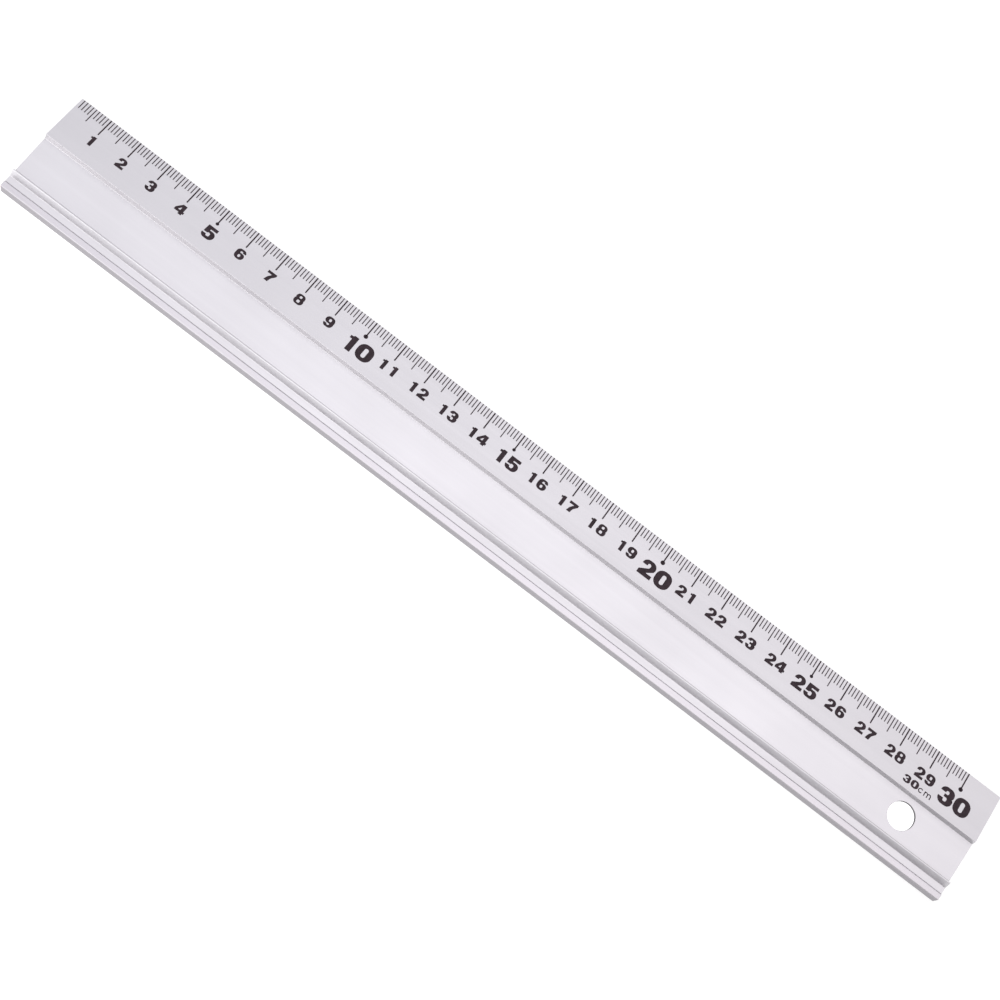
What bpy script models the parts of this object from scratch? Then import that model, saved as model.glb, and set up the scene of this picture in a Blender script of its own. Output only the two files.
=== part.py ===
"""A 30 cm ruler: an extruded aluminium body with a sloped scale face, a sunken finger channel, a raised
rib and a hang hole. A steel cutting edge slides into its front, and it stands on two rubber strips.

Frame: origin at the middle of the footprint, on the plane that the strips stand on. +X runs along the
scale towards higher numbers, +Y towards the scale edge, and +Z up.
"""

import math

import bmesh
import bpy
from mathutils import Matrix, Vector

MM = 0.001

# Along the length
SCALE_LENGTH = 300 * MM  # the zero mark is the body's low end
TAIL = 10.5 * MM  # plain metal past the last mark
LENGTH = SCALE_LENGTH + TAIL

# Across the width, each a distance from the scale edge
WIDTH = 34.0 * MM
RIDGE = 15.2 * MM
CHANNEL_START = 15.7 * MM
CHANNEL_END = 27.78 * MM
RIB_BACK = 28.5 * MM
RIB_FRONT = 28.85 * MM
LEDGE_START = 30.05 * MM
LEDGE_END = 31.95 * MM
SEAM_FLOOR_START = 32.05 * MM
EDGE_SEAT = 32.2 * MM

# Heights above the plane that the strips stand on
UNDERSIDE = 0.3 * MM
SCALE_EDGE_TOP = 2.65 * MM
RIDGE_TOP = 5.15 * MM
CHANNEL_FLOOR = 3.45 * MM
RIB_TOP = 5.55 * MM
LEDGE = 3.75 * MM
SEAM_FLOOR = 3.62 * MM
FRONT_TOP = 4.3 * MM

# The steel edge, with a key along its back that slides into a slot in the body
EDGE_FIT = 0.05 * MM
KEY_DEPTH = 1.0 * MM
KEY_LOW = 2.1 * MM
KEY_HIGH = 2.9 * MM

# The hollow under the scale and the channel
SCALE_WALL = 1.5 * MM
CHANNEL_WALL = 1.4 * MM
HOLLOW_START = 9.6 * MM
HOLLOW_STEP = 14.9 * MM
HOLLOW_END = 26.0 * MM

# Rubber strips, each in a groove that leaves room for its adhesive
STRIP_WIDTH = 4.5 * MM
STRIP_HEIGHT = 1.0 * MM
STRIP_SHORT_OF_END = 1.0 * MM
STRIP_EDGE_BREAK = 0.2 * MM
STRIP_SIDE_GAP = 0.15 * MM
ADHESIVE = 0.3 * MM
REAR_STRIP_START = 2.5 * MM
FRONT_STRIP_START = 26.85 * MM

# Hang hole
HOLE_DIAMETER = 7.9 * MM
HOLE_FROM_ZERO = 290.5 * MM
HOLE_FROM_SCALE_EDGE = 21.4 * MM
HOLE_SIDES = 48

FINE_CORNER = 0.08 * MM
CORNER = 0.15 * MM
SOFT_CORNER = 0.25 * MM
RIB_CORNER = 0.2 * MM
LEDGE_FILLET = 0.2 * MM
ARC_STEP = math.radians(18)
SMOOTH_ANGLE = math.radians(35)


def clear_scene():
    for old in list(bpy.data.objects):
        bpy.data.objects.remove(old, do_unlink=True)


def metal_or_rubber(name, colour, roughness, metallic):
    material = bpy.data.materials.new(name)
    material.use_nodes = True
    shader = material.node_tree.nodes["Principled BSDF"]
    shader.inputs["Base Color"].default_value = (*colour, 1.0)
    shader.inputs["Roughness"].default_value = roughness
    shader.inputs["Metallic"].default_value = metallic
    return material


def rounded(corners):
    """The outline through corners, each (distance from the scale edge, height, radius), with arcs at them."""
    outline = []
    count = len(corners)
    for i, (u, z, radius) in enumerate(corners):
        here = Vector((u, z))
        back = (Vector(corners[i - 1][:2]) - here).normalized()
        ahead = (Vector(corners[(i + 1) % count][:2]) - here).normalized()
        opening = back.angle(ahead)
        if radius == 0:
            outline.append(here)
            continue
        centre = here + (back + ahead).normalized() * (radius / math.sin(opening / 2))
        start = here + back * (radius / math.tan(opening / 2)) - centre
        turn = math.copysign(math.pi - opening, ahead.cross(back))
        steps = max(1, round(abs(turn) / ARC_STEP))
        for step in range(steps + 1):
            outline.append(centre + Matrix.Rotation(turn * step / steps, 2) @ start)
    return outline


def scale_face_height(u):
    return SCALE_EDGE_TOP + (RIDGE_TOP - SCALE_EDGE_TOP) * u / RIDGE


def groove_corners(start):
    """The groove for one strip, from its front wall to its rear wall."""
    ceiling = STRIP_HEIGHT + ADHESIVE
    front = start + STRIP_WIDTH + STRIP_SIDE_GAP
    rear = start - STRIP_SIDE_GAP
    return [
        (front, UNDERSIDE, 0),
        (front, ceiling, CORNER),
        (rear, ceiling, CORNER),
        (rear, UNDERSIDE, 0),
    ]


def body_corners():
    """The body's section, from the scale edge over the top to the steel edge, and back underneath."""
    top = [
        (0, UNDERSIDE, CORNER),
        (0, SCALE_EDGE_TOP, CORNER),
        (RIDGE, RIDGE_TOP, FINE_CORNER),
        (CHANNEL_START, CHANNEL_FLOOR, CORNER),
        (CHANNEL_END, CHANNEL_FLOOR, CORNER),
        (RIB_BACK, RIB_TOP, CORNER),
        (RIB_FRONT, RIB_TOP, RIB_CORNER),
        (LEDGE_START, LEDGE, LEDGE_FILLET),
        (LEDGE_END, LEDGE, FINE_CORNER),
        (SEAM_FLOOR_START, SEAM_FLOOR, 0),
        (EDGE_SEAT, SEAM_FLOOR, 0),
    ]
    slot_end = EDGE_SEAT - KEY_DEPTH
    seat = [
        (EDGE_SEAT, KEY_HIGH + EDGE_FIT, 0),
        (slot_end, KEY_HIGH + EDGE_FIT, 0),
        (slot_end, KEY_LOW - EDGE_FIT, 0),
        (EDGE_SEAT, KEY_LOW - EDGE_FIT, 0),
        (EDGE_SEAT, UNDERSIDE, 0),
    ]
    hollow = [
        (HOLLOW_END, UNDERSIDE, CORNER),
        (HOLLOW_END, CHANNEL_FLOOR - CHANNEL_WALL, SOFT_CORNER),
        (HOLLOW_STEP, CHANNEL_FLOOR - CHANNEL_WALL, SOFT_CORNER),
        (HOLLOW_STEP, scale_face_height(HOLLOW_STEP) - SCALE_WALL, SOFT_CORNER),
        (HOLLOW_START, scale_face_height(HOLLOW_START) - SCALE_WALL, SOFT_CORNER),
        (HOLLOW_START, UNDERSIDE, CORNER),
    ]
    front_groove = groove_corners(FRONT_STRIP_START)
    return top + seat + front_groove + hollow + groove_corners(REAR_STRIP_START)


def edge_corners():
    """The steel edge's section: a bar with its key on the back."""
    back = EDGE_SEAT + EDGE_FIT
    return [
        (back, UNDERSIDE, 0),
        (back, KEY_LOW, 0),
        (back - KEY_DEPTH, KEY_LOW, 0),
        (back - KEY_DEPTH, KEY_HIGH, 0),
        (back, KEY_HIGH, 0),
        (back, FRONT_TOP, CORNER),
        (WIDTH, FRONT_TOP, CORNER),
        (WIDTH, UNDERSIDE, CORNER),
    ]


def extruded(name, outline, low_x, high_x, material):
    """A prism between low_x and high_x, whose outline holds (distance from the scale edge, height)."""
    mesh = bpy.data.meshes.new(name)
    shape = bmesh.new()
    ends = [
        [shape.verts.new((x, WIDTH / 2 - u, z)) for u, z in outline]
        for x in (low_x, high_x)
    ]
    count = len(outline)
    for i in range(count):
        j = (i + 1) % count
        shape.faces.new((ends[0][i], ends[0][j], ends[1][j], ends[1][i]))
    for end in ends:
        shape.faces.new(end)
    bmesh.ops.recalc_face_normals(shape, faces=shape.faces)
    shape.to_mesh(mesh)
    shape.free()
    mesh.materials.append(material)
    mesh.shade_smooth()
    mesh.set_sharp_from_angle(angle=SMOOTH_ANGLE)
    piece = bpy.data.objects.new(name, mesh)
    bpy.context.scene.collection.objects.link(piece)
    return piece


def hole_cutter():
    """The drill for the hang hole, longer than the wall that it goes through."""
    depth = 4 * CHANNEL_WALL
    bpy.ops.mesh.primitive_cylinder_add(
        vertices=HOLE_SIDES,
        radius=HOLE_DIAMETER / 2,
        depth=depth,
        location=(
            HOLE_FROM_ZERO - LENGTH / 2,
            WIDTH / 2 - HOLE_FROM_SCALE_EDGE,
            CHANNEL_FLOOR - CHANNEL_WALL / 2,
        ),
    )
    cutter = bpy.context.active_object
    cutter.name = "hang_hole_cutter"
    cutter.hide_render = True
    cutter.display_type = "WIRE"
    return cutter


def make_body():
    aluminium = metal_or_rubber("satin_aluminium", (0.80, 0.80, 0.82), 0.38, 1.0)
    body = extruded("ruler_body", rounded(body_corners()), -LENGTH / 2, LENGTH / 2, aluminium)
    drill = body.modifiers.new("hang_hole", "BOOLEAN")
    drill.operation = "DIFFERENCE"
    drill.solver = "EXACT"
    drill.object = hole_cutter()


def make_edge():
    steel = metal_or_rubber("brushed_steel", (0.60, 0.60, 0.61), 0.35, 1.0)
    extruded("steel_edge", rounded(edge_corners()), -LENGTH / 2, LENGTH / 2, steel)


def make_strip(name, start, material):
    """A rubber strip with its lower edges broken, along all of its groove but the last bit at each end."""
    corners = [
        (start, 0, STRIP_EDGE_BREAK),
        (start, STRIP_HEIGHT, 0),
        (start + STRIP_WIDTH, STRIP_HEIGHT, 0),
        (start + STRIP_WIDTH, 0, STRIP_EDGE_BREAK),
    ]
    half = LENGTH / 2 - STRIP_SHORT_OF_END
    extruded(name, rounded(corners), -half, half, material)


clear_scene()
make_body()
make_edge()
rubber = metal_or_rubber("grip_rubber", (0.045, 0.045, 0.048), 0.8, 0.0)
make_strip("rear_grip_strip", REAR_STRIP_START, rubber)
make_strip("front_grip_strip", FRONT_STRIP_START, rubber)
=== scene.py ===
"""The looks of the 30 cm aluminium ruler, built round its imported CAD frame. All lengths are in metres."""
import math

import bmesh
import bpy
from mathutils import Matrix, Vector
from mathutils.geometry import tessellate_polygon


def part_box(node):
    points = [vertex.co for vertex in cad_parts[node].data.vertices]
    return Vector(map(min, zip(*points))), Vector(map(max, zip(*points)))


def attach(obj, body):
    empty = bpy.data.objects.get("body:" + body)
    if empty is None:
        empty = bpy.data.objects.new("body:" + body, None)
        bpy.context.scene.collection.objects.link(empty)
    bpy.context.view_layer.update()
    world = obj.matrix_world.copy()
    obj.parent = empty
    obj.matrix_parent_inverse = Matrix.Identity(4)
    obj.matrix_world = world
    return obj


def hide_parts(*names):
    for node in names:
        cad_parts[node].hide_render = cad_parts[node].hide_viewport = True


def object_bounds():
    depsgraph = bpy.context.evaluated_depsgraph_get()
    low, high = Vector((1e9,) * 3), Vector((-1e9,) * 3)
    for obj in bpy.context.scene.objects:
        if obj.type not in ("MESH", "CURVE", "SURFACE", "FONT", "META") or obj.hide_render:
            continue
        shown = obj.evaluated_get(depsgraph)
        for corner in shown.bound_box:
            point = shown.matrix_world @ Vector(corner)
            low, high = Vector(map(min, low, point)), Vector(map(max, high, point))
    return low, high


MM = 0.001

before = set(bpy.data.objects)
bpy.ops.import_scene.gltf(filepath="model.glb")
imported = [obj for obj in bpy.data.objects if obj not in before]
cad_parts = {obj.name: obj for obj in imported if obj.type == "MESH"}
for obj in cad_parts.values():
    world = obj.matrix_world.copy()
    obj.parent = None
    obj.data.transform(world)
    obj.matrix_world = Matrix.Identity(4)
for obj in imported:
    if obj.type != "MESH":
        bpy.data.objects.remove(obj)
cad_low, cad_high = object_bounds()

BODY_NODE = "ruler_body"
EDGE_NODE = "steel_edge"
ROOT = "root"
ZERO_X = cad_low.x  # the zero mark is the body's low end

JOIN_DISTANCE = 0.002 * MM
FLAT_ANGLE = math.radians(0.5)
END_MARGIN = 1 * MM
ARC_STEP = math.radians(15)


# ---------------------------------------------------------------- what the frame says

def cad_mesh(node):
    """A cleaned bmesh copy of a CAD node: its shared points joined and its flat faces whole."""
    shape = bmesh.new()
    shape.from_mesh(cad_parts[node].data)
    bmesh.ops.remove_doubles(shape, verts=shape.verts, dist=JOIN_DISTANCE)
    bmesh.ops.dissolve_limit(shape, angle_limit=FLAT_ANGLE, verts=shape.verts, edges=shape.edges)
    return shape


def end_outline(shape):
    """The section's outline as (y, z) points in order, read off the end cap at the low end."""
    cap = max((f for f in shape.faces if f.normal.x < -0.99), key=lambda f: f.calc_area())
    return [Vector((loop.vert.co.y, loop.vert.co.z)) for loop in cap.loops]


def hang_hole(shape):
    """(centre, radius, lower face, upper face) of the only feature between the two ends."""
    rim = [v.co for v in shape.verts if cad_low.x + END_MARGIN < v.co.x < cad_high.x - END_MARGIN]
    xs, ys, zs = ([p[i] for p in rim] for i in range(3))
    centre = Vector(((min(xs) + max(xs)) / 2, (min(ys) + max(ys)) / 2))
    return centre, (max(xs) - min(xs)) / 2, min(zs), max(zs)


def scale_face(shape):
    """The scale edge's corner, the direction from it down the scale face, and the face's normal."""
    face = max(
        (f for f in shape.faces if 0.05 < f.normal.y < 0.5 and f.normal.z > 0.8),
        key=lambda f: f.calc_area(),
    )
    down = Vector((0, -face.normal.z, face.normal.y)).normalized()
    point = face.verts[0].co
    edge = point + down * ((cad_high.y - point.y) / down.y)
    return Vector((0, edge.y, edge.z)), down, face.normal.copy()


cad_shape = cad_mesh(BODY_NODE)
BODY_SECTION = end_outline(cad_shape)
HOLE_CENTRE, HOLE_RADIUS, HOLE_LOW, HOLE_HIGH = hang_hole(cad_shape)
EDGE_CORNER, DOWN_FACE, FACE_NORMAL = scale_face(cad_shape)
cad_shape.free()
cad_shape = cad_mesh(EDGE_NODE)
EDGE_SECTION = end_outline(cad_shape)
cad_shape.free()


# ---------------------------------------------------------------- materials

def node(tree, kind, inputs=None, **settings):
    made = tree.nodes.new(kind)
    for key, value in settings.items():
        setattr(made, key, value)
    for key, value in (inputs or {}).items():
        if isinstance(value, bpy.types.NodeSocket):
            tree.links.new(value, made.inputs[key])
        else:
            made.inputs[key].default_value = value
    return made


def new_material(name):
    material = bpy.data.materials.new(name)
    material.use_nodes = True
    tree = material.node_tree
    return material, tree, tree.nodes["Principled BSDF"]


def stretched_noise(tree, place, stretch, scale, detail=3.0, roughness=0.55):
    """Noise whose grain is stretched by a different amount along each axis."""
    mapping = node(tree, "ShaderNodeMapping", {"Vector": place, "Scale": stretch})
    return node(
        tree,
        "ShaderNodeTexNoise",
        {"Vector": mapping.outputs["Vector"], "Scale": scale, "Detail": detail, "Roughness": roughness},
    ).outputs["Fac"]


def ranged(tree, value, low, high, to_low, to_high, smooth=False):
    return node(
        tree,
        "ShaderNodeMapRange",
        {"Value": value, "From Min": low, "From Max": high, "To Min": to_low, "To Max": to_high},
        interpolation_type="SMOOTHSTEP" if smooth else "LINEAR",
    ).outputs["Result"]


def maths(tree, operation, a, b):
    return node(tree, "ShaderNodeMath", {0: a, 1: b}, operation=operation).outputs[0]


def blended(tree, factor, a, b):
    """A value that goes from a to b as factor goes from 0 to 1."""
    step = maths(tree, "MULTIPLY", factor, maths(tree, "SUBTRACT", b, a))
    return maths(tree, "ADD", a, step)


def mixed(tree, factor, a, b):
    """A colour that goes from a to b as factor goes from 0 to 1."""
    mix = node(tree, "ShaderNodeMix", {"Factor": factor, "A": a, "B": b}, data_type="RGBA")
    return mix.outputs[2]


def with_saw_marks(tree, coords, long_lines):
    """The lines along a bar's length, and on its two cut ends the upright marks of the saw instead."""
    facing = node(tree, "ShaderNodeSeparateXYZ", {"Vector": coords.outputs["Normal"]}).outputs["X"]
    on_end = ranged(tree, maths(tree, "ABSOLUTE", facing, 0), 0.8, 0.95, 0.0, 1.0)
    marks = stretched_noise(tree, coords.outputs["Object"], (1, 700, 40), 6.0)
    return blended(tree, on_end, long_lines, ranged(tree, marks, 0.35, 0.65, 0.0, 6.0))


def aluminium():
    """Silver anodised extrusion: die lines along it, a fine grain, and saw marks on the cut ends."""
    material, tree, shader = new_material("satin_aluminium")
    coords = node(tree, "ShaderNodeTexCoord")
    place = coords.outputs["Object"]
    die_lines = stretched_noise(tree, place, (2, 900, 900), 6.0, detail=4.0)
    soft_bands = stretched_noise(tree, place, (1.5, 60, 60), 5.0, detail=2.0)
    grain = stretched_noise(tree, place, (1, 1, 1), 9000.0, detail=2.0)
    blotches = stretched_noise(tree, place, (1, 1, 1), 28.0, detail=3.0)
    spread = ranged(tree, soft_bands, 0.3, 0.7, 0.0, 1.0)
    tone = mixed(tree, spread, (0.648, 0.638, 0.663, 1), (0.674, 0.664, 0.689, 1))
    tree.links.new(tone, shader.inputs["Base Color"])
    shader.inputs["Metallic"].default_value = 1.0
    rough = ranged(tree, blotches, 0.3, 0.7, 0.36, 0.43)
    uneven = ranged(tree, die_lines, 0.3, 0.7, -0.03, 0.03)
    tree.links.new(maths(tree, "ADD", rough, uneven), shader.inputs["Roughness"])
    lines = node(
        tree,
        "ShaderNodeBump",
        {"Strength": 0.12, "Distance": 0.02 * MM, "Height": with_saw_marks(tree, coords, die_lines)},
    )
    fine = node(
        tree,
        "ShaderNodeBump",
        {"Strength": 0.15, "Distance": 0.01 * MM, "Height": grain, "Normal": lines.outputs["Normal"]},
    )
    tree.links.new(fine.outputs["Normal"], shader.inputs["Normal"])
    return material


def drilled_metal():
    """Aluminium in the drilled hole, kept darker than the anodised skin as painted shade, with fine rings
    from the drill.
    """
    material, tree, shader = new_material("drilled_aluminium_painted_shade")
    place = node(tree, "ShaderNodeTexCoord").outputs["Object"]
    rings = stretched_noise(tree, place, (40, 40, 9000), 1.0, detail=3.0)
    spread = ranged(tree, rings, 0.3, 0.7, 0.0, 1.0)
    # Painted shade: the dark tone and low specular tint stand in for the shade inside the hole; the rings
    # are drill marks.
    tone = mixed(tree, spread, (0.15, 0.148, 0.154, 1), (0.24, 0.236, 0.242, 1))
    tree.links.new(tone, shader.inputs["Base Color"])
    shader.inputs["Metallic"].default_value = 1.0
    shader.inputs["Specular Tint"].default_value = (0.3, 0.3, 0.3, 1)
    tree.links.new(ranged(tree, rings, 0.3, 0.7, 0.3, 0.42), shader.inputs["Roughness"])
    bump = node(tree, "ShaderNodeBump", {"Strength": 0.3, "Distance": 0.02 * MM, "Height": rings})
    tree.links.new(bump.outputs["Normal"], shader.inputs["Normal"])
    return material


def steel():
    """Stainless bar, brushed along its length and saw-marked on its ends, glossier than the aluminium."""
    material, tree, shader = new_material("brushed_steel")
    coords = node(tree, "ShaderNodeTexCoord")
    place = coords.outputs["Object"]
    brushing = stretched_noise(tree, place, (3, 1400, 1400), 6.0, detail=4.0)
    stains = stretched_noise(tree, place, (1, 3, 3), 45.0, detail=4.0)
    spread = ranged(tree, stains, 0.3, 0.7, 0.0, 1.0)
    tone = mixed(tree, spread, (0.573, 0.554, 0.585, 1), (0.599, 0.579, 0.611, 1))
    tree.links.new(tone, shader.inputs["Base Color"])
    shader.inputs["Metallic"].default_value = 1.0
    shader.inputs["Specular Tint"].default_value = (0.40, 0.40, 0.40, 1)
    rough = ranged(tree, brushing, 0.3, 0.7, 0.26, 0.34)
    tree.links.new(rough, shader.inputs["Roughness"])
    lines = node(
        tree,
        "ShaderNodeBump",
        {"Strength": 0.15, "Distance": 0.02 * MM, "Height": with_saw_marks(tree, coords, brushing)},
    )
    tree.links.new(lines.outputs["Normal"], shader.inputs["Normal"])
    return material


def ink():
    """Brownish black screen print, a little uneven in tone."""
    material, tree, shader = new_material("scale_ink")
    place = node(tree, "ShaderNodeTexCoord").outputs["Object"]
    patches = stretched_noise(tree, place, (1, 1, 1), 900.0, detail=4.0)
    spread = ranged(tree, patches, 0.35, 0.7, 0.0, 1.0)
    tone = mixed(tree, spread, (0.017, 0.008, 0.012, 1), (0.036, 0.019, 0.028, 1))
    tree.links.new(tone, shader.inputs["Base Color"])
    shader.inputs["Roughness"].default_value = 0.55
    shader.inputs["Specular IOR Level"].default_value = 0.3
    return material


def rubber():
    """Matt black rubber with fine grain and some dust."""
    material, tree, shader = new_material("grip_rubber")
    place = node(tree, "ShaderNodeTexCoord").outputs["Object"]
    dust = stretched_noise(tree, place, (1, 1, 1), 160.0, detail=5.0)
    grain = stretched_noise(tree, place, (1, 1, 1), 5000.0, detail=2.0)
    spread = ranged(tree, dust, 0.4, 0.75, 0.0, 1.0)
    tone = mixed(tree, spread, (0.030, 0.030, 0.032, 1), (0.060, 0.059, 0.058, 1))
    tree.links.new(tone, shader.inputs["Base Color"])
    tree.links.new(ranged(tree, dust, 0.3, 0.7, 0.72, 0.9), shader.inputs["Roughness"])
    bump = node(tree, "ShaderNodeBump", {"Strength": 0.3, "Distance": 0.03 * MM, "Height": grain})
    tree.links.new(bump.outputs["Normal"], shader.inputs["Normal"])
    return material


def tape():
    """Pale, fibrous adhesive tape."""
    material, tree, shader = new_material("adhesive_tape")
    place = node(tree, "ShaderNodeTexCoord").outputs["Object"]
    fibres = stretched_noise(tree, place, (1, 8, 8), 400.0, detail=4.0)
    tone = mixed(tree, fibres, (0.52, 0.50, 0.44, 1), (0.66, 0.64, 0.58, 1))
    tree.links.new(tone, shader.inputs["Base Color"])
    shader.inputs["Roughness"].default_value = 0.6
    return material


ALUMINIUM = aluminium()
SHADED_DRILLED = drilled_metal()
STEEL = steel()
INK = ink()
RUBBER = rubber()
TAPE = tape()


# ---------------------------------------------------------------- mesh helpers

def add_piece(name, shape, material, smooth_angle=None):
    """Makes a piece of the object from a bmesh, and lets it ride on the one body."""
    bmesh.ops.recalc_face_normals(shape, faces=shape.faces)
    mesh = bpy.data.meshes.new(name)
    shape.to_mesh(mesh)
    shape.free()
    mesh.materials.append(material)
    if smooth_angle is not None:
        mesh.shade_smooth()
        mesh.set_sharp_from_angle(angle=smooth_angle)
    piece = bpy.data.objects.new(name, mesh)
    bpy.context.scene.collection.objects.link(piece)
    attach(piece, ROOT)
    return piece


def bridge_rings(shape, rings):
    """Quads between rings of equal length, and a face at each end."""
    made = [[shape.verts.new(p) for p in ring] for ring in rings]
    count = len(made[0])
    for a, b in zip(made, made[1:]):
        for i in range(count):
            j = (i + 1) % count
            shape.faces.new((a[i], a[j], b[j], b[i]))
    shape.faces.new(made[0])
    shape.faces.new(made[-1])


def inset_outline(outline, amount):
    """The outline moved inwards by amount, with mitred corners."""
    count = len(outline)
    area = sum(a.x * b.y - b.x * a.y for a, b in zip(outline, outline[1:] + outline[:1]))
    side = 1 if area > 0 else -1
    moved = []
    for i, here in enumerate(outline):
        before = (here - outline[i - 1]).normalized()
        after = (outline[(i + 1) % count] - here).normalized()
        n1, n2 = (Vector((-d.y, d.x)) * side for d in (before, after))
        moved.append(here + (n1 + n2) * (amount / (1 + n1.dot(n2))))
    return moved


def rounded(corners, step=ARC_STEP):
    """The outline through corners, each (x, y, radius), with an arc at each corner that has a radius."""
    outline = []
    count = len(corners)
    for i, (x, y, radius) in enumerate(corners):
        here = Vector((x, y))
        if radius == 0:
            outline.append(here)
            continue
        back = (Vector(corners[i - 1][:2]) - here).normalized()
        ahead = (Vector(corners[(i + 1) % count][:2]) - here).normalized()
        opening = back.angle(ahead)
        centre = here + (back + ahead).normalized() * (radius / math.sin(opening / 2))
        start = here + back * (radius / math.tan(opening / 2)) - centre
        turn = math.copysign(math.pi - opening, ahead.cross(back))
        steps = max(1, round(abs(turn) / step))
        for k in range(steps + 1):
            outline.append(centre + Matrix.Rotation(turn * k / steps, 2) @ start)
    return outline


# ---------------------------------------------------------------- the extrusion and its steel edge

END_CHAMFER = 0.06 * MM
HOLE_CHAMFER = 0.05 * MM
LOWER_RIM_WIDTH = 0.35 * MM
LOWER_RIM_HEIGHT = 0.5 * MM
HOLE_SIDES = 96
CUTTER_REACH = 0.1 * MM
LEVEL = 0.9  # a face whose normal's z is more than this isn't part of the hole's wall
SMOOTH_ANGLE = math.radians(28)


def keep_flats_flat(piece):
    """Weights the shading by face area, so that only the narrow arcs between flat faces look round."""
    normals = piece.modifiers.new("weighted_normals", "WEIGHTED_NORMAL")
    normals.mode = "FACE_AREA"
    normals.weight = 100
    normals.keep_sharp = True


def make_prism(name, section, material):
    """A section run along the whole length, with its ends broken."""
    small = inset_outline(section, END_CHAMFER)
    stations = [
        (cad_low.x, small),
        (cad_low.x + END_CHAMFER, section),
        (cad_high.x - END_CHAMFER, section),
        (cad_high.x, small),
    ]
    shape = bmesh.new()
    bridge_rings(shape, [[(x, p.x, p.y) for p in outline] for x, outline in stations])
    return add_piece(name, shape, material, SMOOTH_ANGLE)


def make_body():
    body = make_prism("extruded_body", BODY_SECTION, ALUMINIUM)
    drill_hang_hole(body)
    body.data.shade_smooth()
    body.data.set_sharp_from_angle(angle=SMOOTH_ANGLE)
    keep_flats_flat(body)
    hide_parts(BODY_NODE)


def make_edge():
    edge = make_prism("steel_cutting_edge", EDGE_SECTION, STEEL)
    keep_flats_flat(edge)
    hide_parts(EDGE_NODE)


def drill_hang_hole(body):
    """Cuts the hole with a broken upper rim and a steep countersink below, and removes the cutter."""
    flare = LOWER_RIM_WIDTH / LOWER_RIM_HEIGHT
    steps = [
        (HOLE_RADIUS + LOWER_RIM_WIDTH + CUTTER_REACH * flare, HOLE_LOW - CUTTER_REACH),
        (HOLE_RADIUS, HOLE_LOW + LOWER_RIM_HEIGHT),
        (HOLE_RADIUS, HOLE_HIGH - HOLE_CHAMFER),
        (HOLE_RADIUS + HOLE_CHAMFER + CUTTER_REACH, HOLE_HIGH + CUTTER_REACH),
    ]
    turns = [2 * math.pi * i / HOLE_SIDES for i in range(HOLE_SIDES)]
    rings = [
        [(HOLE_CENTRE.x + radius * math.cos(a), HOLE_CENTRE.y + radius * math.sin(a), z) for a in turns]
        for radius, z in steps
    ]
    shape = bmesh.new()
    bridge_rings(shape, rings)
    bmesh.ops.recalc_face_normals(shape, faces=shape.faces)
    mesh = bpy.data.meshes.new("drill")
    shape.to_mesh(mesh)
    shape.free()
    cutter = bpy.data.objects.new("drill", mesh)
    bpy.context.scene.collection.objects.link(cutter)
    cut = body.modifiers.new("hole", "BOOLEAN")
    cut.operation = "DIFFERENCE"
    cut.solver = "EXACT"
    cut.object = cutter
    bpy.context.view_layer.update()
    depsgraph = bpy.context.evaluated_depsgraph_get()
    drilled = bpy.data.meshes.new_from_object(body.evaluated_get(depsgraph))
    body.modifiers.remove(cut)
    body.data = drilled
    bpy.data.objects.remove(cutter)
    # The hole's wall gets the metal with painted shade.
    drilled.materials.append(SHADED_DRILLED)
    for face in drilled.polygons:
        middle = Vector((face.center.x, face.center.y)) - HOLE_CENTRE
        if middle.length < HOLE_RADIUS + LOWER_RIM_WIDTH and abs(face.normal.z) < LEVEL:
            face.material_index = 1


# ---------------------------------------------------------------- grip strips

RIB_COUNT = 5
RIB_DEPTH = 0.18 * MM
RIB_START, RIB_END = 0.2, 0.8  # the flat of a rib, as shares of the pitch
RIB_CORNER = 0.06 * MM
RIB_ARC_STEP = math.radians(30)
RIB_SMOOTH_ANGLE = math.radians(40)
TAPE_INSET = 0.15 * MM


def make_strip(side):
    """A strip whose lower face has fine ribs along it, and the tape that holds it in its groove."""
    cad_name = side + "_grip_strip"
    low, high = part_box(cad_name)
    pitch = (high.y - low.y) / RIB_COUNT
    outline = [(high.y, high.z, 0), (low.y, high.z, 0)]
    for i in range(RIB_COUNT):
        y = low.y + i * pitch
        outline += [
            (y, low.z + RIB_DEPTH, 0),
            (y + RIB_START * pitch, low.z, RIB_CORNER),
            (y + RIB_END * pitch, low.z, RIB_CORNER),
        ]
    outline.append((high.y, low.z + RIB_DEPTH, 0))
    section = rounded(outline, RIB_ARC_STEP)
    shape = bmesh.new()
    bridge_rings(shape, [[(x, p.x, p.y) for p in section] for x in (low.x, high.x)])
    strip = add_piece(side + "_ribbed_strip", shape, RUBBER, RIB_SMOOTH_ANGLE)
    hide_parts(cad_name)
    ceiling = groove_ceiling((low.y + high.y) / 2)
    shape = bmesh.new()
    corners = [
        (low.y + TAPE_INSET, high.z),
        (high.y - TAPE_INSET, high.z),
        (high.y - TAPE_INSET, ceiling),
        (low.y + TAPE_INSET, ceiling),
    ]
    bridge_rings(shape, [[(x, y, z) for y, z in corners] for x in (low.x, high.x)])
    add_piece(side + "_strip_tape", shape, TAPE)


def groove_ceiling(y):
    """The height of the body's lowest surface above the strips at this y."""
    heights = []
    for a, b in zip(BODY_SECTION, BODY_SECTION[1:] + BODY_SECTION[:1]):
        if (a.x - y) * (b.x - y) < 0:
            heights.append(a.y + (b.y - a.y) * (y - a.x) / (b.x - a.x))
    return min(heights)


# ---------------------------------------------------------------- printed scale

INK_LIFT = 0.02 * MM
INK_SINK = 0.02 * MM


def on_face(along, down, lift):
    """A point on the scale face: along from the zero mark, down from the scale edge, lift off the metal."""
    return Vector((ZERO_X + along, 0, 0)) + EDGE_CORNER + DOWN_FACE * down + FACE_NORMAL * lift


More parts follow.
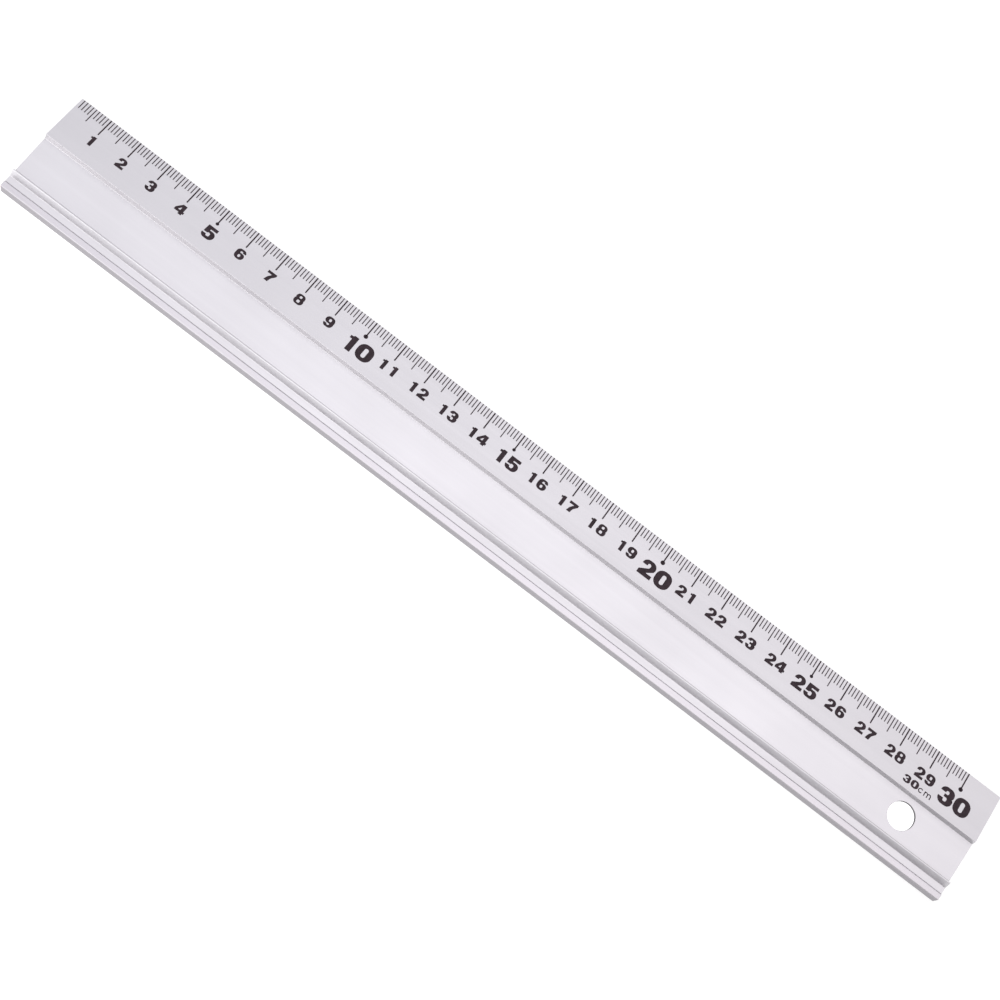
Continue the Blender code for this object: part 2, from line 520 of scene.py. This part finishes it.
def add_print(shape, loops):
    """A thin closed layer of ink inside loops of (along, down), where loops after the first are holes."""
    low, high = [], []
    for loop in loops:
        low.append([shape.verts.new(on_face(p.x, p.y, -INK_SINK)) for p in loop])
        high.append([shape.verts.new(on_face(p.x, p.y, INK_LIFT)) for p in loop])
    triangles = tessellate_polygon([[Vector((p.x, p.y, 0)) for p in loop] for loop in loops])
    for layer in (low, high):
        flat = [v for loop in layer for v in loop]
        for tri in triangles:
            shape.faces.new([flat[i] for i in tri])
    for a, b in zip(low, high):
        count = len(a)
        for i in range(count):
            j = (i + 1) % count
            shape.faces.new((a[i], a[j], b[j], b[i]))


EDGE_REACH = 0.2 * MM
MARK_LENGTHS = {1: 3.1 * MM, 5: 5.05 * MM, 10: 6.05 * MM}
MARK_WIDTHS = {1: 0.27 * MM, 5: 0.28 * MM, 10: 0.39 * MM}
MARK_COUNT = 300


def mark_kind(n):
    return 10 if n % 10 == 0 else 5 if n % 5 == 0 else 1


def scale_edge_arc():
    """The rounded scale edge as (y, z) points, from just short of the rear wall up to the scale face."""
    near = [
        p for p in BODY_SECTION
        if INK_LIFT < EDGE_CORNER.y - p.x < EDGE_REACH and abs(p.y - EDGE_CORNER.z) < EDGE_REACH
    ]
    return sorted(near, key=lambda p: p.y)


def raised(outline, lift):
    """An open outline moved off the metal by lift."""
    moved = []
    for i, here in enumerate(outline):
        along = (outline[min(i + 1, len(outline) - 1)] - outline[max(i - 1, 0)]).normalized()
        moved.append(here + Vector((along.y, -along.x)) * lift)
    return moved


def make_marks():
    """The millimetre marks, each a strip of ink that starts on the rounded scale edge."""
    shapes = {kind: bmesh.new() for kind in MARK_LENGTHS}
    arc_points = scale_edge_arc()
    for n in range(1, MARK_COUNT + 1):
        kind = mark_kind(n)
        end = on_face(0, MARK_LENGTHS[kind], 0)
        path = arc_points + [Vector((end.y, end.z))]
        section = raised(path, INK_LIFT) + raised(path, -INK_SINK)[::-1]
        sides = [ZERO_X + n * MM + side * MARK_WIDTHS[kind] / 2 for side in (-1, 1)]
        bridge_rings(shapes[kind], [[(x, p.x, p.y) for p in section] for x in sides])
    for kind, shape in shapes.items():
        add_piece(f"marks_{kind}_mm", shape, INK)


DOT_SIDES = 32
DOT_SPACING = 50
SMALL_DOT = (0.5 * MM, 5.6 * MM)  # radius, and distance down the scale face
LARGE_DOT = (0.65 * MM, 5.5 * MM)


def make_dots():
    """Round dots on the 5 cm marks, larger ones on the 10 cm marks."""
    shape = bmesh.new()
    turns = [2 * math.pi * i / DOT_SIDES for i in range(DOT_SIDES)]
    for n in range(DOT_SPACING, MARK_COUNT + 1, DOT_SPACING):
        radius, down = LARGE_DOT if n % (2 * DOT_SPACING) == 0 else SMALL_DOT
        circle = [Vector((n * MM + radius * math.cos(a), down + radius * math.sin(a))) for a in turns]
        add_print(shape, [circle])
    add_piece("mark_dots", shape, INK)


def slot_shape(x0, y0, x1, y1, radius):
    """A rectangle's corners, all with one radius."""
    return [(x0, y0, radius), (x1, y0, radius), (x1, y1, radius), (x0, y1, radius)]


def turned(contours, width):
    """A glyph turned by half a turn."""
    return [[(width - x, 100 - y, r) for x, y, r in contour] for contour in contours]


SIX = [
    [
        (0, -2, 36), (0, 102, 37), (87, 102, 30), (87, 71, 0), (56, 71, 0), (56, 82, 8),
        (34, 82, 10), (34, 64, 0), (89, 64, 29), (89, -2, 36),
    ],
    slot_shape(33, 18, 55, 47, 10),
]

# Each digit is (width, contours), in hundredths of its height and measured up from its foot. The contours
# after the first are holes. A corner is (x, y, radius).
DIGITS = {
    "0": (96, [slot_shape(0, -2, 96, 103, 42), slot_shape(36, 20, 60, 80, 11)]),
    "1": (47, [[
        (15, 0, 0), (47, 0, 0), (47, 100, 0), (20, 100, 6), (14, 92, 6), (0, 91, 0), (0, 74, 0),
        (15, 74, 0),
    ]]),
    "2": (85, [[
        (0, 0, 0), (84, 0, 0), (84, 24, 0), (46, 24, 0), (84, 54, 22), (84, 102, 34), (1, 102, 34),
        (1, 66, 0), (32, 66, 0), (32, 82, 8), (51, 82, 9), (51, 58, 14), (0, 25, 0),
    ]]),
    "3": (89, [[
        (1, 102, 32), (86, 102, 32), (86, 55, 11), (79, 52, 0), (89, 47, 16), (89, -2, 34), (0, -2, 34),
        (0, 33, 0), (33, 33, 0), (33, 18, 8), (54, 18, 10), (54, 43, 8), (30, 43, 0), (30, 61, 0),
        (52, 61, 8), (52, 82, 9), (33, 82, 8), (33, 69, 0), (1, 69, 0),
    ]]),
    "4": (95, [
        [
            (50, 0, 0), (83, 0, 0), (83, 16, 0), (95, 16, 0), (95, 38, 0), (83, 38, 0), (83, 100, 0),
            (43, 100, 0), (0, 42, 0), (0, 16, 0), (50, 16, 0),
        ],
        [(27, 39, 0), (50, 39, 0), (50, 70, 0)],
    ]),
    "5": (92, [[
        (9, 100, 0), (87, 100, 0), (87, 76, 0), (40, 76, 0), (39, 66, 0), (92, 66, 30), (92, -2, 36),
        (0, -2, 31), (0, 30, 0), (33, 30, 0), (33, 18, 8), (57, 18, 10), (57, 48, 10), (35, 48, 6),
        (35, 41, 0), (5, 41, 0),
    ]]),
    "6": (89, SIX),
    "7": (86, [[
        (0, 100, 0), (86, 100, 0), (86, 79, 0), (57, 42, 40), (49, 0, 0), (12, 0, 0), (24, 42, 40),
        (48, 75, 0), (0, 75, 0),
    ]]),
    "8": (89, [
        [
            (3, 102, 30), (86, 102, 30), (86, 55, 10), (81, 52, 0), (89, 47, 14), (89, -2, 32),
            (0, -2, 32), (0, 47, 14), (8, 52, 0), (3, 55, 10),
        ],
        slot_shape(32, 61, 57, 85, 10),
        slot_shape(31, 15, 58, 43, 10),
    ]),
    "9": (89, turned(SIX, 89)),
}

# How the numbers at the 1 cm, 5 cm and 10 cm marks are set: height, stretch across, the cell for one digit,
# how far the number sits past its mark, and how far a leading 1 sits from the middle of its cell.
SMALL = {"height": 3.25 * MM, "stretch": 0.98, "cell": 3.28 * MM, "shift": 0.01 * MM, "lead": -0.05 * MM}
MEDIUM = {"height": 4.15 * MM, "stretch": 0.99, "cell": 4.1 * MM, "shift": 0.04 * MM, "lead": 0.12 * MM}
LARGE = {"height": 5.1 * MM, "stretch": 1.0, "cell": 5.05 * MM, "shift": 0.12 * MM, "lead": 0.36 * MM}
SINGLE_TOP = 7.12 * MM
DOUBLE_TOP = 7.26 * MM
LONE_ONE_SHIFT = -0.17 * MM


def add_number(shape, text, mark, top, height, stretch, cell, shift, lead):
    """Digits set in cells of one width, centred near their mark, with their tops at top."""
    unit = height / 100
    for i, digit in enumerate(text):
        width, contours = DIGITS[digit]
        middle = mark + shift + (i - (len(text) - 1) / 2) * cell
        if digit == "1" and i == 0:
            middle += lead if len(text) > 1 else LONE_ONE_SHIFT
        left = middle - width * unit * stretch / 2
        loops = [
            [Vector((left + p.x * unit * stretch, top + height - p.y * unit)) for p in rounded(contour)]
            for contour in contours
        ]
        add_print(shape, loops)


def make_numbers():
    """The numbers 1 to 30, larger at every 5 cm and largest at every 10 cm."""
    for cm in range(1, 31):
        size = LARGE if cm % 10 == 0 else MEDIUM if cm % 5 == 0 else SMALL
        shape = bmesh.new()
        add_number(shape, str(cm), cm * 10 * MM, SINGLE_TOP if cm < 10 else DOUBLE_TOP, **size)
        add_piece(f"number_{cm:02d}", shape, INK)


LABEL = {"height": 2.25 * MM, "stretch": 1.1, "cell": 2.55 * MM, "shift": 0.0, "lead": 0.0}
LABEL_CENTRE = 287.45 * MM
LABEL_TOP = 11.58 * MM
THIN_STROKE = 0.28 * MM
LOWER_HEIGHT = 1.45 * MM
C_CENTRE = 290.85 * MM
C_RADIUS = 0.62 * MM
C_START, C_END = 42, 318  # degrees
M_LEFT = 292.15 * MM
M_ARCH_WIDTH = 0.93 * MM


def stroke_loop(path, width):
    """A closed outline of one width along a path."""
    left, right = [], []
    for i, here in enumerate(path):
        before = path[max(i - 1, 0)]
        after = path[min(i + 1, len(path) - 1)]
        along = (after - before).normalized()
        across = Vector((-along.y, along.x)) * width / 2
        left.append(here + across)
        right.append(here - across)
    return left + right[::-1]


def arc(cx, cy, rx, ry, start, end, steps=14):
    """Points along part of an ellipse, from start to end in degrees."""
    turns = [math.radians(start + (end - start) * i / steps) for i in range(steps + 1)]
    return [Vector((cx + rx * math.cos(a), cy - ry * math.sin(a))) for a in turns]


def make_label():
    """The length and its unit, below the last numbers."""
    shape = bmesh.new()
    add_number(shape, "30", LABEL_CENTRE, LABEL_TOP, **LABEL)
    foot = LABEL_TOP + LABEL["height"]
    half = LOWER_HEIGHT / 2
    c_path = arc(C_CENTRE, foot - half, C_RADIUS, half - THIN_STROKE / 2, C_START, C_END)
    add_print(shape, [stroke_loop(c_path, THIN_STROKE)])
    stem = [Vector((M_LEFT, foot - LOWER_HEIGHT)), Vector((M_LEFT, foot))]
    add_print(shape, [stroke_loop(stem, THIN_STROKE)])
    shoulder = foot - LOWER_HEIGHT + M_ARCH_WIDTH / 2 + THIN_STROKE / 2
    for i in range(2):
        start = M_LEFT + i * M_ARCH_WIDTH
        arch = arc(start + M_ARCH_WIDTH / 2, shoulder, M_ARCH_WIDTH / 2, M_ARCH_WIDTH / 2, 180, 0)
        add_print(shape, [stroke_loop(arch + [Vector((start + M_ARCH_WIDTH, foot))], THIN_STROKE)])
    add_piece("length_label", shape, INK)


make_body()
make_edge()
make_strip("rear")
make_strip("front")
make_marks()
make_dots()
make_numbers()
make_label()


# ---------------------------------------------------------------- camera, light and floor

SKY = 1.74
# The floor's glow. The extra front glow, from left to right, is painted light.
FLOOR_GLOW = 0.7
FRONT_GLOW_LEFT, FRONT_GLOW_RIGHT = 1.0, 0.66
FLOOR_HALF_SIDE = 6.0
FLOOR_DROP = 0.03 * MM
VIEW_ELEVATION = math.radians(71.594)
VIEW_YAW = math.radians(-1.3245)
VIEW_ROLL = math.radians(36.0477)
VIEW_DISTANCE = 560.13 * MM
VIEW_LENS = 75.857
AIM = Vector((-0.078 * MM, -2.147 * MM, 3.46 * MM))


def make_camera():
    """The photo's camera, from the fit to the scale's marks."""
    ahead = Vector((
        math.sin(VIEW_YAW) * math.cos(VIEW_ELEVATION),
        math.cos(VIEW_YAW) * math.cos(VIEW_ELEVATION),
        -math.sin(VIEW_ELEVATION),
    ))
    level = Vector((math.cos(VIEW_YAW), -math.sin(VIEW_YAW), 0))
    above = level.cross(ahead)
    right = math.cos(VIEW_ROLL) * level + math.sin(VIEW_ROLL) * above
    up = -math.sin(VIEW_ROLL) * level + math.cos(VIEW_ROLL) * above
    data = bpy.data.cameras.new("camera")
    data.lens = VIEW_LENS
    data.clip_start = 0.01
    camera = bpy.data.objects.new("camera", data)
    bpy.context.scene.collection.objects.link(camera)
    pose = Matrix((right, up, -ahead)).transposed().to_4x4()
    pose.translation = AIM - ahead * VIEW_DISTANCE
    camera.matrix_world = pose
    bpy.context.scene.camera = camera


def make_floor():
    """A table that glows, with painted light: most under the ruler and at the left in front of it, and less
    elsewhere.
    """
    shape = bmesh.new()
    side = FLOOR_HALF_SIDE
    corners = [(-side, -side, 0), (side, -side, 0), (side, side, 0), (-side, side, 0)]
    shape.faces.new([shape.verts.new(c) for c in corners])
    mesh = bpy.data.meshes.new("floor")
    shape.to_mesh(mesh)
    shape.free()
    material, tree, shader = new_material("floor")
    shader.inputs["Base Color"].default_value = (0.4, 0.4, 0.4, 1)
    shader.inputs["Emission Color"].default_value = (1, 1, 1, 1)
    place = node(tree, "ShaderNodeTexCoord").outputs["Object"]
    parts = node(tree, "ShaderNodeSeparateXYZ", {"Vector": place}).outputs
    along, across = (maths(tree, "ABSOLUTE", parts[axis], 0) for axis in "XY")
    # Painted light: the floor glows fully under the ruler, where it would lie in shade, so the hole shows
    # bright.
    painted_glow_beneath = maths(
        tree,
        "MULTIPLY",
        ranged(tree, along, 0.9 * cad_high.x, cad_high.x, 1.0, 0.0),
        ranged(tree, across, 0.7 * cad_high.y, cad_high.y, 1.0, 0.0),
    )
    # Painted light: extra glow in front of the ruler, more at the left and less at the right, for its front
    # faces to reflect.
    left_extra, right_extra = FRONT_GLOW_LEFT - FLOOR_GLOW, FRONT_GLOW_RIGHT - FLOOR_GLOW
    extra = ranged(tree, parts["X"], cad_low.x, cad_high.x, left_extra, right_extra)
    in_front = ranged(tree, parts["Y"], cad_low.y, 0.8 * cad_low.y, 1.0, 0.0)
    level = maths(tree, "ADD", maths(tree, "MULTIPLY", extra, in_front), FLOOR_GLOW)
    tree.links.new(maths(tree, "MAXIMUM", level, painted_glow_beneath), shader.inputs["Emission Strength"])
    shader.inputs["Roughness"].default_value = 0.9
    shader.inputs["Specular IOR Level"].default_value = 0.1
    mesh.materials.append(material)
    floor = bpy.data.objects.new("floor", mesh)
    floor.location.z = -FLOOR_DROP
    bpy.context.scene.collection.objects.link(floor)


def make_world():
    """A studio round the ruler: brightest overhead, and dimmer behind and at the sides. In front it goes
    from bright on the left to dark on the right, and less so near the floor."""
    world = bpy.data.worlds.new("studio")
    world.use_nodes = True
    tree = world.node_tree
    direction = node(tree, "ShaderNodeTexCoord").outputs["Generated"]
    parts = node(tree, "ShaderNodeSeparateXYZ", {"Vector": direction}).outputs
    x, y, z = parts["X"], parts["Y"], parts["Z"]
    behind = ranged(tree, y, 0.25, 0.9, 1.0, 0.6)
    off_middle = maths(tree, "ABSOLUTE", maths(tree, "SUBTRACT", x, 0.02), 0)
    sides = ranged(tree, off_middle, 0.0, 0.7, 1.0, 0.35, smooth=True)
    in_front = ranged(tree, y, -0.75, -0.1, 1.0, 0.0, smooth=True)
    leftness = maths(tree, "POWER", ranged(tree, x, 0.35, -0.35, 0.0, 1.0), 2.0)
    high_front = ranged(tree, leftness, 0.0, 1.0, 0.23, 2.6)
    low_front = ranged(tree, leftness, 0.0, 1.0, 0.3, 1.5)
    height = ranged(tree, z, 0.0, 0.6, 0.0, 1.0, smooth=True)
    fade = blended(tree, in_front, 1.0, blended(tree, height, low_front, high_front))
    level = maths(tree, "MULTIPLY", maths(tree, "MULTIPLY", behind, sides), fade)
    strength = maths(tree, "MULTIPLY", level, SKY)
    across = ranged(tree, x, -0.35, 0.35, 0.0, 1.0)
    tint = mixed(tree, across, (0.985, 0.982, 1.02, 1), (1.02, 0.985, 0.998, 1))
    warmer = mixed(tree, maths(tree, "MULTIPLY", in_front, height), tint, (1.005, 0.99, 0.965, 1))
    background = tree.nodes["Background"]
    tree.links.new(warmer, background.inputs["Color"])
    tree.links.new(strength, background.inputs["Strength"])
    bpy.context.scene.world = world


make_camera()
make_floor()
make_world()
bpy.context.scene.view_settings.view_transform = "Standard"
